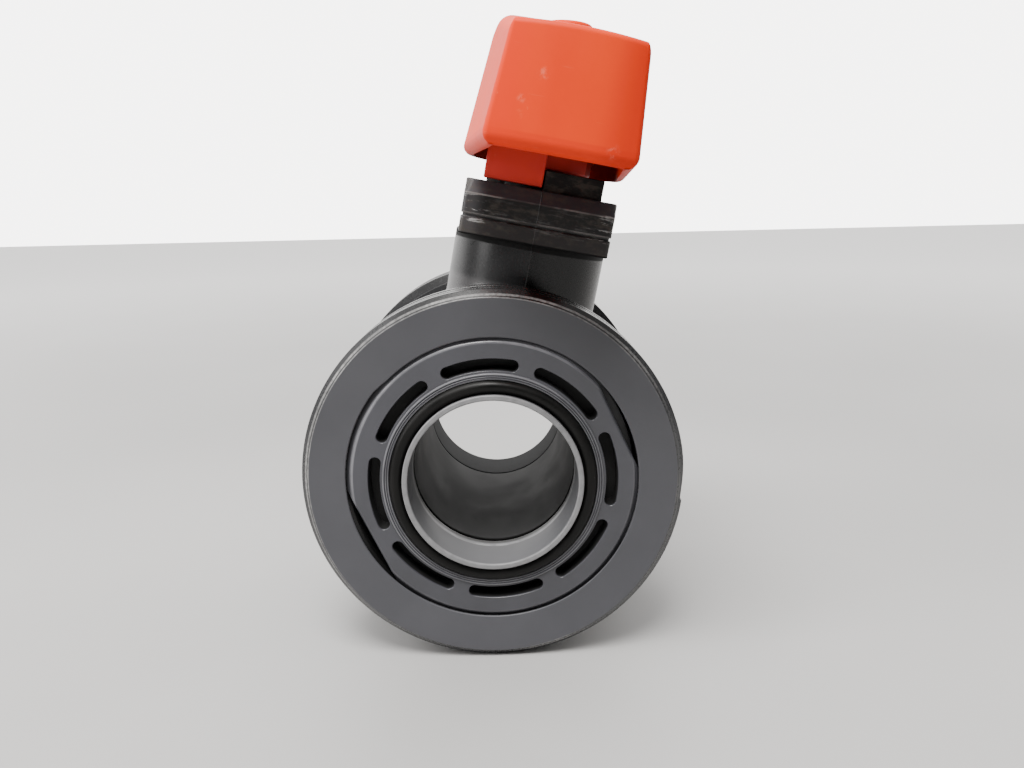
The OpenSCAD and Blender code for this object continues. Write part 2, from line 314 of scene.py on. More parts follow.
def lathe_y(name, profile, columns=288, blends=()):
    """A ring about the flow axis from a closed (radius, y) outline.

    Each of the blends is another outline and a function that gives its weight at an angle.
    """
    profile = np.asarray(profile, float)
    verts = []
    for i in range(columns):
        a = tau * i / columns
        p = profile + sum(weight(a) * (other - profile) for other, weight in blends)
        verts.append(np.stack([p[:, 0] * sin(a), p[:, 1], p[:, 0] * cos(a)], 1))
    return mesh_object(name, np.concatenate(verts), grid_faces(columns, len(profile)))


def lathe_z(name, profile, columns):
    """A turned form about the stem axis from a closed (radius, z) outline, which may touch the axis."""
    r, z = np.asarray(profile, float).T
    angles = np.linspace(0, tau, columns, endpoint=False)
    verts = [np.stack([r * cos(a), r * sin(a), z], 1) for a in angles]
    return mesh_object(name, np.concatenate(verts), grid_faces(columns, len(r)), on_axis=True)


def loft(name, loops, closed=True):
    """A skin over loops of the same number of points; closed joins the last loop to the first."""
    count = len(loops[0])
    return mesh_object(name, np.concatenate(loops), grid_faces(len(loops), count, wrap_rows=closed))


def capped_loft(name, loops):
    """An open row of loops with a face over each end."""
    count = len(loops[0])
    faces = grid_faces(len(loops), count, wrap_rows=False)
    faces += [tuple(range(count)), tuple(range((len(loops) - 1) * count, len(loops) * count))]
    return mesh_object(name, np.concatenate(loops), faces)


def prism(name, outline, low, high, edge):
    """An upright block over an outline of (x, y) points, with all of its edges rounded by edge."""
    bm = bmesh.new()
    floor = bm.faces.new([bm.verts.new((x * MM, y * MM, low * MM)) for x, y in outline])
    top = bmesh.ops.extrude_face_region(bm, geom=[floor])
    lifted = [v for v in top["geom"] if isinstance(v, bmesh.types.BMVert)]
    bmesh.ops.translate(bm, verts=lifted, vec=(0, 0, (high - low) * MM))
    bmesh.ops.recalc_face_normals(bm, faces=bm.faces)
    if edge:
        bmesh.ops.bevel(bm, geom=list(bm.edges), offset=edge * MM, segments=3, profile=0.5, affect="EDGES")
    return from_bmesh(name, bm)


def drum(name, radius, low, high, columns):
    """A plain cylinder about the stem axis, as a cutting tool."""
    return lathe_z(name, [(0, low), (radius, low), (radius, high), (0, high)], columns)


def transform(made, matrix):
    """Moves an object's points by a matrix, with its shift in millimetres."""
    moved = matrix.copy()
    moved.translation = matrix.translation * MM
    made.data.transform(moved)
    if moved.determinant() < 0:
        made.data.flip_normals()
    return made


# ---------------- body
def ring_profile(step=0.0, mouth=0.0):
    """The body's closed section: outside from front to back, then the passage and the ball chamber."""
    crest = UNION_R - step
    crest_y = FACE_Y - END_CHAMFER
    collar_y = FACE_Y - COLLAR_L
    outside = []
    for s in (-1, 1):
        end = [
            (FACE_R - step / 2, s * FACE_Y, 0.5), (crest, s * crest_y, 0.55),
            (crest, s * (crest_y - CREST_W), 0.45), (ROOT_R, s * (crest_y - CREST_W - FLANK_W), 0.5),
            (ROOT_R, s * collar_y, 0.4), (BARREL_R, s * (collar_y - 0.8), 1.0),
        ]
        outside += end if s < 0 else end[::-1]
    rear = [
        (FACE_GROOVE_R, FACE_Y, 0.3), (FACE_GROOVE_R, FACE_Y - FACE_GROOVE_D, 0.3),
        (LIP_R, FACE_Y - FACE_GROOVE_D, 0.3), (LIP_R, LIP_Y, 0.5), (BORE_R, LIP_Y, 0.5),
        (BORE_R, NOSE_Y, 0.5), (NOSE_R, NOSE_Y, 0.1), (NOSE_R, POCKET_Y, 0.2), (POCKET_R, POCKET_Y, 0.5),
        (POCKET_R, CHAMBER_END, 0.3), (CHAMBER_R, CHAMBER_END, 0.6),
    ]
    thread = []
    for k in (2, 1, 0):
        y = -TOOTH_Y + k * TOOTH_PITCH
        thread += [
            (CHAMBER_R, y + 1.1, 0.1), (INNER_ROOT_R, y + 0.55, 0.1),
            (INNER_ROOT_R, y - 0.55, 0.1), (CHAMBER_R, y - 1.1, 0.1),
        ]
    thread[-1] = (CHAMBER_R + mouth, -TOOTH_Y - 1.1, 0.1)
    return round_profile(outside + rear + thread + [(CHAMBER_R + mouth, -FACE_Y, 0.45)])


def thread_fade(angle):
    """1 just before the thread's start, falling to 0 over a short way back, and 0 elsewhere."""
    back = (THREAD_START - angle) % tau / THREAD_STEP_REACH
    return (0.5 + 0.5 * cos(pi * back)) if back < 1 else 0.0


def mouth_fade(angle):
    """1 where the inner thread breaks out at the front face, falling to 0 as it sinks in."""
    back = (MOUTH_START - angle) % tau
    return min(1.0, back / MOUTH_RISE) * max(0.0, 1 - back / MOUTH_REACH)


def thread_ridge(name):
    """The helical ridge of the front union thread: it leaves the end ring and runs out two turns later."""
    turns = (COLLAR_L - END_CHAMFER - CREST_W - FLANK_W) / PITCH
    first_y = -(FACE_Y - END_CHAMFER - CREST_W / 2)
    steps = int(turns * THREAD_COLUMNS)
    root_w = CREST_W / 2 + FLANK_W
    section = round_profile([
        (THREAD_FOOT_R, -root_w - 0.2, 0), (ROOT_R, -root_w, 0.25), (UNION_R, -CREST_W / 2, 0.45),
        (UNION_R, CREST_W / 2, 0.45), (ROOT_R, root_w, 0.25), (THREAD_FOOT_R, root_w + 0.2, 0),
    ], 3)
    rings = []
    for i in range(steps + 1):
        turn = turns * i / steps
        angle = THREAD_START + tau * turn
        left = (turns - turn) * tau / THREAD_RUN_OUT
        height = sin(pi / 2 * min(1.0, max(0.0, left)))
        r = THREAD_FOOT_R + (section[:, 0] - THREAD_FOOT_R) * (0.15 + 0.85 * height)
        y = first_y + PITCH * turn + section[:, 1] * (0.4 + 0.6 * height)
        y = np.minimum(y, -(FACE_Y - COLLAR_L))
        rings.append(np.stack([r * sin(angle), y, r * cos(angle)], 1))
    return capped_loft(name, rings)


def barrel_top(x, radius=BARREL_R):
    """Height of the barrel, or of a cylinder inside its wall, at a distance x from the stem axis."""
    return np.sqrt(np.maximum(radius ** 2 - np.asarray(x) ** 2, 0.0))


def neck():
    """Round neck with a fillet that follows the barrel, and a hole for the stem."""
    angles = np.linspace(0, tau, 192, endpoint=False)
    c, s = np.cos(angles), np.sin(angles)

    def loop(r, z):
        r, z = np.broadcast_to(r, c.shape), np.broadcast_to(z, c.shape)
        return np.stack([r * c, r * s, z], 1)

    wall_mid = (BARREL_R + CHAMBER_R) / 2
    foot_r = NECK_R + NECK_FLARE
    corner_z = barrel_top(NECK_R * c)
    foot_z = barrel_top(foot_r * c) - 0.03
    loops = [
        loop(STEM_COLLAR_R, barrel_top(STEM_COLLAR_R * c, wall_mid)),
        loop(foot_r, barrel_top(foot_r * c, wall_mid)),
        loop(foot_r, foot_z),
    ]
    for k in range(1, 9):
        t = k / 8
        r = (1 - t) ** 2 * foot_r + 2 * t * (1 - t) * NECK_R + t ** 2 * NECK_R
        z = (1 - t) ** 2 * foot_z + 2 * t * (1 - t) * corner_z + t ** 2 * (corner_z + NECK_FLARE)
        loops.append(loop(r, z))
    loops += [loop(NECK_R, 58), loop(NECK_R, 63)]
    for inside, below in quarter(4):
        loops.append(loop(NECK_R - NECK_SHOULDER_R * inside, NECK_SHOULDER_Z - NECK_SHOULDER_R * below))
    loops += [loop(STEM_BORE_R, NECK_SHOULDER_Z), loop(STEM_BORE_R, STEM_RECESS_Z)]
    loops.append(loop(STEM_COLLAR_R, STEM_RECESS_Z))
    return loft("neck", loops)


def pad_angles():
    """Directions from the stem axis, closer together round the pad's corners."""
    corner = atan2(PAD_HALF_L - PAD_CORNER_R, PAD_HALF_W - PAD_CORNER_R)
    found = set(np.round(np.radians(np.arange(0, 360, 3.0)), 5))
    for base in (corner, pi - corner, pi + corner, tau - corner):
        found |= set(np.round(base + np.radians(np.linspace(-2.6, 2.6, 17)), 5))
    return np.array(sorted(found))


def rounded_box_reach(angles, half_w, half_l, corner_r):
    """Distance from the centre to a rounded rectangle's edge along each direction."""
    reach = []
    for a in angles:
        c, s = abs(cos(a)), abs(sin(a))
        t = min(half_w / c if c > 1e-9 else 1e9, half_l / s if s > 1e-9 else 1e9)
        cx, cy = half_w - corner_r, half_l - corner_r
        if t * c > cx and t * s > cy:
            along = cx * c + cy * s
            off = cx * cx + cy * cy - along * along
            t = along + sqrt(max(corner_r ** 2 - off, 0.0))
        reach.append(t)
    return np.array(reach)


def pad():
    """Pad on the neck: a groove round it, a bevel on its front and back, and soft edges."""
    angles = pad_angles()
    c, s = np.cos(angles), np.sin(angles)

    def loop(inset_w, inset_l, z):
        r = rounded_box_reach(angles, PAD_HALF_W - inset_w, PAD_HALF_L - inset_l, PAD_CORNER_R)
        return np.stack([r * c, r * s, np.full(len(r), z)], 1)

    def ring(r, z):
        return np.stack([r * c, r * s, np.full(len(c), z)], 1)

    loops = [ring(STEM_BORE_R, PAD_LOW)]
    for above, inside in quarter(4):
        loops.append(loop(PAD_EDGE_R * inside, PAD_EDGE_R * inside, PAD_LOW + PAD_EDGE_R * above))
    soft = PAD_GROOVE_EDGE_R
    for side, z in ((-1, PAD_GROOVE_Z), (1, PAD_GROOVE_Z + PAD_GROOVE_H)):
        lip = [(0, z + side * soft * 2), (0, z + side * soft), (soft * 0.3, z + side * soft * 0.3), (soft, z)]
        floor = [(PAD_GROOVE_D - soft * 0.3, z - side * soft * 0.2), (PAD_GROOVE_D, z - side * soft)]
        rows = lip + floor
        for inset, height in rows if side < 0 else rows[::-1]:
            loops.append(loop(inset, inset, height))
    bevel_z = PAD_TOP - PAD_BEVEL_H
    loops += [loop(0, 0, bevel_z - 0.35), loop(0, 0.03, bevel_z), loop(0, 0.16, bevel_z + 0.4)]
    for inside, below in quarter(4):
        z = PAD_TOP - PAD_EDGE_R * below
        lean = PAD_BEVEL_D * (z - bevel_z) / PAD_BEVEL_H
        loops.append(loop(PAD_EDGE_R * inside, lean + PAD_EDGE_R * inside, z))
    loops += [ring(STEM_BORE_R + 0.6, PAD_TOP), ring(STEM_BORE_R, PAD_TOP - 0.6)]
    return loft("pad", loops)


def stop_outline():
    """A stop's outline: it fills one eighth of a turn, up to the diagonal."""
    return [
        (STOP_GAP, -STOP_OUT), (STOP_W, -STOP_OUT), (STOP_W, -STOP_W - STOP_GAP),
        (STOP_IN - STOP_GAP, -STOP_IN), (STOP_GAP, -STOP_IN),
    ]


def parting_ridge(name, points):
    """A thin moulding line that runs along (y, z) points on the plane x = 0, standing out towards -Y."""
    section = ((-0.2, 0.3), (-0.2, 0), (0, -0.1), (0.2, 0), (0.2, 0.3))
    return capped_loft(name, [[(x, y + back, z) for x, back in section] for y, z in points])


def make_body():
    """Barrel with threaded ends, neck, pad, stops and parting lines, in closed shells that overlap."""
    blends = [(ring_profile(step=THREAD_STEP), thread_fade), (ring_profile(mouth=MOUTH_W), mouth_fade)]
    barrel = lathe_y("barrel", ring_profile(), columns=360, blends=blends)
    combine(barrel, [drum("drill", STEM_COLLAR_R, 30, 60, 96)], "DIFFERENCE")
    parts = [barrel, neck(), pad()]
    half_turn = Matrix.Rotation(pi, 4, "Z")
    neck_line = [(-NECK_R, z) for z in (53.5, 60, PAD_LOW + 0.2)]
    groove_top = PAD_GROOVE_Z + PAD_GROOVE_H
    pad_line = [(depth - PAD_HALF_L, z) for depth, z in (
        (0, PAD_LOW + 0.3), (0, PAD_GROOVE_Z - 0.3), (PAD_GROOVE_D, PAD_GROOVE_Z + 0.1),
        (PAD_GROOVE_D, groove_top - 0.1), (0, groove_top + 0.3),
        (0, PAD_TOP - PAD_BEVEL_H), (PAD_BEVEL_D - 0.2, PAD_TOP - 0.5),
    )]
    for turn in (Matrix.Identity(4), half_turn):
        for made in (
            thread_ridge("ridge"), prism("stop", stop_outline(), PAD_TOP - 1.0, STOP_TOP, STOP_EDGE_R),
            parting_ridge("neck_line", neck_line), parting_ridge("pad_line", pad_line),
        ):
            parts.append(transform(made, turn))
    return smooth(merge("valve_body_shell", parts))


# ---------------- rings and ball
def polar(radius, angle):
    """The (x, z) point at an angle from the top, going clockwise seen from the front."""
    return radius * sin(angle), radius * cos(angle)


def arc_slot(middle, grow):
    """Outline of a tool slot with round ends about an angle, widened by grow."""
    half_w = SLOT_HALF_W + grow
    half_a = SLOT_SPAN / 2 - asin(SLOT_HALF_W / SLOT_R)
    points = []
    for side in (1, -1):
        for a in np.linspace(middle - side * half_a, middle + side * half_a, 25):
            points.append(polar(SLOT_R + side * half_w, a))
        end = middle + side * half_a
        centre, out = np.array(polar(SLOT_R, end)), np.array(polar(1, end))
        along = np.array(polar(1, end + pi / 2))
        for t in np.linspace(0, pi, 13)[1:-1]:
            points.append(tuple(centre + side * half_w * (out * cos(t) + along * sin(t))))
    return points


def flatted_circle(radius, flat):
    """A circle with two opposed flats, as (x, z) points."""
    points = []
    normal = np.array(polar(1, FLAT_TURN))
    for a in np.linspace(0, tau, 361)[:-1]:
        p = np.array(polar(radius, a))
        over = p @ normal
        if abs(over) > flat:
            p = p - normal * (over - copysign(flat, over))
        points.append(tuple(p))
    return points


def circle(radius):
    return [polar(radius, a) for a in np.linspace(0, tau, 288, endpoint=False)]


def plate_with_holes(name, outlines, front, back, edge):
    """A plate across the flow axis; outlines(grow) gives its rim, shrunk by grow, and its holes, widened."""
    bm = bmesh.new()
    rows = [(edge * inside, front + edge * behind) for behind, inside in quarter(4)] + [(0.0, back)]
    first, last = [], []
    for which in range(len(outlines(0))):
        loops = []
        for grow, y in rows:
            loops.append([bm.verts.new((x * MM, y * MM, z * MM)) for x, z in outlines(grow)[which]])
        for one, two in zip(loops, loops[1:]):
            for i in range(len(one)):
                j = (i + 1) % len(one)
                bm.faces.new((one[i], one[j], two[j], two[i]))
        for loop, edges in ((loops[0], first), (loops[-1], last)):
            edges += [bm.edges.get((loop[i - 1], loop[i])) for i in range(len(loop))]
    for edges in (first, last):
        bmesh.ops.triangle_fill(bm, edges=edges, use_beauty=True)
    bmesh.ops.recalc_face_normals(bm, faces=bm.faces)
    return from_bmesh(name, bm)


def make_retainer():
    """The ring that holds the seat carrier: a slotted plate, a raised rim and three thread crests."""
    front = -RETAINER_FACE
    back_y = front + RETAINER_T

    def outlines(grow):
        slots = [arc_slot(SLOT_TURN + k * tau / SLOTS, 0.25 * grow) for k in range(SLOTS)]
        return [flatted_circle(RETAINER_R - grow, FLAT_R - grow), circle(FACE_GROOVE_R + 0.4 + grow)] + slots

    plate = plate_with_holes("plate", outlines, front, front + SLOT_D + 0.1, SLOT_EDGE_R)
    back = plate_with_holes("back", lambda grow: outlines(grow)[:2], front + SLOT_D, back_y, 0.05)
    rim_y = front - RIM_H
    lines = []
    for r in (RIM_R - 0.6, RIM_R - 1.15):
        lines += [(r + 0.14, rim_y, 0.05), (r, rim_y + 0.35, 0.05), (r - 0.14, rim_y, 0.05)]
    rim = lathe_y("rim", round_profile([
        (RIM_R + 0.25, front + 0.02, 0.1), (RIM_R, rim_y, 0.22), *lines,
        (FACE_GROOVE_R, rim_y, 0.22), (FACE_GROOVE_R, back_y, 0.1),
        (RING_INNER_R, back_y, 0.1), (RING_INNER_R, front + 0.5, 0.1),
    ], 3))
    teeth = []
    for k in range(3):
        y = -TOOTH_Y + k * TOOTH_PITCH
        r = RETAINER_R
        tooth = lathe_y("tooth", round_profile([
            (r - 0.8, y - 0.9, 0), (r, y - 0.9, 0.1), (r + TOOTH_H, y - 0.35, 0.15),
            (r + TOOTH_H, y + 0.35, 0.15), (r, y + 0.9, 0.1), (r - 0.8, y + 0.9, 0),
        ], 2), 240)
        cutters = []
        for turn in (FLAT_TURN, FLAT_TURN + pi):
            cutter = prism("flat_cutter", box_outline(-30, -60, 30, -30), FLAT_R - 0.01, FLAT_R + 12, 0)
            cutters.append(transform(cutter, Matrix.Rotation(turn, 4, "Y")))
        teeth.append(combine(tooth, cutters, "DIFFERENCE"))
    return smooth(merge("retainer_ring", [plate, back, rim] + teeth), 35)


def make_carrier():
    """The front seat's carrier, with a lip, a groove for its O-ring and a pocket for the seat."""
    carrier_r = CHAMBER_R - 0.3
    neck_r = FACE_GROOVE_R - 0.2
    back = -RETAINER_FACE + RETAINER_T + 0.1
    groove_front = CARRIER_GROOVE_Y - CARRIER_GROOVE_HALF_W
    groove_back = CARRIER_GROOVE_Y + CARRIER_GROOVE_HALF_W
    profile = round_profile([
        (BORE_R, -LIP_Y, 0.45), (LIP_R, -LIP_Y, 0.45), (LIP_R, -FACE_Y + FACE_GROOVE_D, 0.3),
        (neck_r, -FACE_Y + FACE_GROOVE_D, 0.2), (neck_r, back, 0.3), (carrier_r, back, 0.4),
        (carrier_r, groove_front, 0.15), (CARRIER_GROOVE_R, groove_front, 0.2),
        (CARRIER_GROOVE_R, groove_back, 0.2), (carrier_r, groove_back, 0.15),
        (carrier_r, -CHAMBER_END, 0.3), (POCKET_R, -CHAMBER_END, 0.2), (POCKET_R, -POCKET_Y, 0.4),
        (NOSE_R, -POCKET_Y, 0.2), (NOSE_R, -NOSE_Y, 0.3), (BORE_R, -NOSE_Y, 0.8),
    ])
    return smooth(lathe_y("carrier_ring", profile))


def make_ball():
    """The bored ball, with the slot that the stem's key turns it by."""
    flat_y = sqrt(BALL_R ** 2 - BORE_R ** 2)
    start = asin(flat_y / BALL_R)
    arc = [(BALL_R * cos(a), BALL_R * sin(a), 0) for a in np.linspace(start, -start, 61)]
    arc[0] = (*arc[0][:2], 1.0)
    arc[-1] = (*arc[-1][:2], 1.0)
    ball = lathe_y("bored_ball", round_profile(arc, 5), 240)
    slot_outline = box_outline(-BALL_SLOT_HALF_L, -BALL_SLOT_HALF_W, BALL_SLOT_HALF_L, BALL_SLOT_HALF_W)
    slot = prism("slot", slot_outline, BALL_SLOT_LOW, BALL_R + 7.5, 0)
    return smooth(combine(ball, [slot], "DIFFERENCE"))


# ---------------- lever
def lever_outline(hub_r, tip_w, tip_r, length, bulge):
    """The lever seen from above: points and outward directions, from the tip's middle round to it again."""
    cx, cy = tip_w - tip_r, -length + bulge + tip_r
    lean = atan2(cy, cx) + acos((hub_r - tip_r) / hypot(cx, cy))
    front_end = -pi / 2 + atan(2 * bulge / cx)
    points, normals = [], []

    def add(x, y, angle):
        points.append((x, y))
        normals.append((cos(angle), sin(angle)))

    for t in np.linspace(0, 1, 13)[:-1]:
        add(cx * t, -length + bulge * t * t, -pi / 2 + atan(2 * bulge * t / cx))
    for t in np.linspace(0, 1, 11)[:-1]:
        a = front_end + (lean - front_end) * t
        add(cx + tip_r * cos(a), cy + tip_r * sin(a), a)
    start = np.array((cx + tip_r * cos(lean), cy + tip_r * sin(lean)))
    finish = np.array((hub_r * cos(lean), hub_r * sin(lean)))
    for t in np.linspace(0, 1, 25)[:-1]:
        add(*(start + (finish - start) * t), lean)
    for t in np.linspace(0, 1, 25):
        a = lean + (pi / 2 - lean) * t
        add(hub_r * cos(a), hub_r * sin(a), a)
    for (x, y), (nx, ny) in list(zip(points, normals))[-2:0:-1]:
        points.append((-x, y))
        normals.append((-nx, ny))
    return np.array(points), np.array(normals)


def roof_height(x, y):
    """Height of the lever's roof: level over the hub, sloping down to the tip, and slightly crowned."""
    slope = (HUB_TOP - TIP_TOP) / (LEVER_L - TIP_CORNER_R - ROOF_BEND)
    past = -np.asarray(y) - ROOF_BEND
    drop = slope * ROOF_SOFT * np.log1p(np.exp(np.clip(past / ROOF_SOFT, -30, 30)))
    half = TIP_TOP_W + (HUB_TOP_R - TIP_TOP_W) * np.clip(1 + np.asarray(y) / LEVER_L, 0, 1)
    return HUB_TOP - drop - ROOF_CROWN * (np.asarray(x) / half) ** 2


def wall_loop(rise, inset):
    """Outline of the lever at a share of its height, shrunk by inset."""
    hub = HUB_LOW_R + (HUB_TOP_R - HUB_LOW_R) * rise - inset
    tip = TIP_LOW_W + (TIP_TOP_W - TIP_LOW_W) * rise - inset
    return lever_outline(hub, tip, TIP_CORNER_R - inset * 0.5, LEVER_L - inset, TIP_BULGE)


def spine(points):
    """The point of the lever's middle line that each outline point closes in on."""
    y = np.clip(points[:, 1] * 0.9, -LEVER_L + 14, 0)
    return np.stack([np.zeros(len(y)), y], 1)


def under_roof(plan, depth):
    """The points of a plan, put a depth below the roof."""
    return np.column_stack([plan, roof_height(plan[:, 0], plan[:, 1]) - depth])


def lever_skin(inset, low, edge_r, rows):
    """Loops of one side of the lever's wall, from its lower rim up and over the roof to the middle line."""
    top, out = wall_loop(1.0, inset)
    bottom, _ = wall_loop(0.0, inset)
    edge_r = np.full((len(top), 1), edge_r)
    if inset == 0:
        edge_r += (HUB_EDGE_R - edge_r) * np.clip(1 + top[:, 1:] / LEVER_L, 0, 1)
        edge_r += (TIP_EDGE_R - edge_r) * np.clip((-out[:, 1:] - 0.35) / 0.5, 0, 1)
    edge_h = edge_r[:, 0]
    high = roof_height(top[:, 0], top[:, 1]) - inset - edge_h
    loops = []
    for k in range(rows + 1):
        t = k / rows
        plan = bottom + (top - bottom) * t
        loops.append(np.column_stack([plan, low + (high - low) * t]))
    for inside, below in quarter(6)[1:]:
        loops.append(under_roof(top - out * edge_r * inside, inset + edge_h * below))
    edge = top - out * edge_r
    middle = spine(edge)
    for t in (0.06, 0.2, 0.4, 0.6, 0.8, 1.0):
        loops.append(under_roof(edge + (middle - edge) * t, inset))
    return loops


def lever_shell():
    """The lever's hollow shell, with a soft upper edge and a rounded lower rim."""
    outer = lever_skin(0.0, RIM_Z + RIM_EDGE_R, TOP_EDGE_R, 12)
    inner = lever_skin(WALL_T, RIM_Z + INNER_RIM_R, INNER_ROOF_R, 8)
    plan, out = wall_loop(0.0, 0.0)
    rim = []
    for inside, above in quarter(6)[1:]:
        level = plan - out * RIM_EDGE_R * inside
        rim.append(np.column_stack([level, np.full(len(level), RIM_Z + RIM_EDGE_R * above)]))
    plan, out = wall_loop(0.0, WALL_T)
    for t in (0.4, 0.12):
        height = RIM_Z + INNER_RIM_R * (0.4 - t) * 1.5
        rim.append(np.column_stack([plan + out * INNER_RIM_R * t, np.full(len(plan), height)]))
    loops = outer[::-1] + rim + inner
    return loft("lever_shell", loops, closed=False)


def lever_rib(x):
    """A rib that hangs from the lever's roof, on one side of the middle."""
    left, right = x - RIB_T / 2, x + RIB_T / 2
    rings = []
    for y in np.linspace(RIB_FRONT, RIB_BACK, 18):
        roof = float(roof_height(x, y)) - WALL_T / 2
        rings.append([(left, y, RIB_LOW), (right, y, RIB_LOW), (right, y, roof), (left, y, roof)])
    return capped_loft("rib", rings)


def lug_block():
    """A lug under the lever that meets a travel stop, and its web up to the boss."""
    mirrored = [(-x, y) for x, y in stop_outline()][::-1]
    lug = prism("lug", mirrored, LUG_LOW, BOSS_LOW + 5, LUG_EDGE_R)
    web_outline = box_outline(-(STOP_GAP + STOP_W - 6), -STOP_OUT, -STOP_GAP, -8)
    return [lug, prism("web", web_outline, BOSS_LOW, BOSS_LOW + 9, LUG_EDGE_R)]


def make_lever():
    """The hollow lever with its boss, ribs and lugs, cut for the stem's square, the screw and the cap."""
    shell = lever_shell()
    boss_top = HUB_TOP - WALL_T + 1
    boss = lathe_z("boss", round_profile([
        (0, BOSS_LOW, 0), (BOSS_R, BOSS_LOW, 0.8), (BOSS_R, boss_top, 0), (0, boss_top, 0),
    ]), 96)
    added = [boss, lever_rib(-RIB_X), lever_rib(RIB_X)] + lug_block()
    added += [transform(made, Matrix.Rotation(pi, 4, "Z")) for made in lug_block()]
    combine(shell, added, "UNION")
    half = SQUARE_W / 2
    cutters = [
        prism("socket", box_outline(-half, -half, half, half), BOSS_LOW - 1, SQUARE_TOP, 0),
        drum("hole", SCREW_HOLE_R, SQUARE_TOP - 1, SCREW_SEAT + 1, 48),
        drum("seat", CAP_SEAT_R, SCREW_SEAT, HUB_TOP + 2, 64),
    ]
    combine(shell, cutters, "DIFFERENCE")
    shell.name = "lever_grip"
    return smooth(shell, 34)


def make_cap():
    """The button over the lever's screw, pressed in slightly askew, so that its +X side stands up."""
    crown = [(CAP_R * k, CAP_TOP - 0.35 * k * k, 0) for k in (0.0, 0.25, 0.5, 0.7)]
    plug_r = CAP_SEAT_R - 0.7
    outline = crown + [
        (CAP_R - 0.1, CAP_TOP - 0.6, 1.1), (CAP_R, HUB_TOP + 0.03, 0.2),
        (plug_r, HUB_TOP + 0.03, 0), (plug_r, HUB_TOP - 2.2, 0.3), (0, HUB_TOP - 2.2, 0),
    ]
    cap = lathe_z("cap_button", round_profile(outline), 96)
    pivot = Vector((-CAP_R, 0, HUB_TOP))
    tilt = Matrix.Translation(pivot) @ Matrix.Rotation(-CAP_TILT, 4, "Y") @ Matrix.Translation(-pivot)
    return smooth(transform(cap, tilt))


# ---------------- materials
class Tree:
    """A short way to write a node tree."""

    def __init__(self, owner):
        owner.use_nodes = True
        self.tree = owner.node_tree

    def add(self, kind, **values):
        node = self.tree.nodes.new(kind)
        for key, value in values.items():
            setattr(node, key, value)
        return node

    def link(self, source, target):
        self.tree.links.new(source, target)

    def ramp(self, value, low, high, start=0.0, end=1.0):
        """A soft change from start to end as value goes from low to high."""
        node = self.add("ShaderNodeMapRange", interpolation_type="SMOOTHSTEP")
        for key, number in (("From Min", low), ("From Max", high), ("To Min", start), ("To Max", end)):
            node.inputs[key].default_value = number
        self.link(value, node.inputs["Value"])
        return node.outputs["Result"]

    def math(self, operation, a, b=0.5):
        node = self.add("ShaderNodeMath", operation=operation)
        for socket, value in zip(node.inputs, (a, b)):
            if isinstance(value, (int, float)):
                socket.default_value = value
            else:
                self.link(value, socket)
        return node.outputs[0]

    def times(self, *values):
        return functools.reduce(lambda a, b: self.math("MULTIPLY", a, b), values)

    def plus(self, *values):
        return functools.reduce(lambda a, b: self.math("ADD", a, b), values)

    def most(self, a, b):
        return self.math("MAXIMUM", a, b)


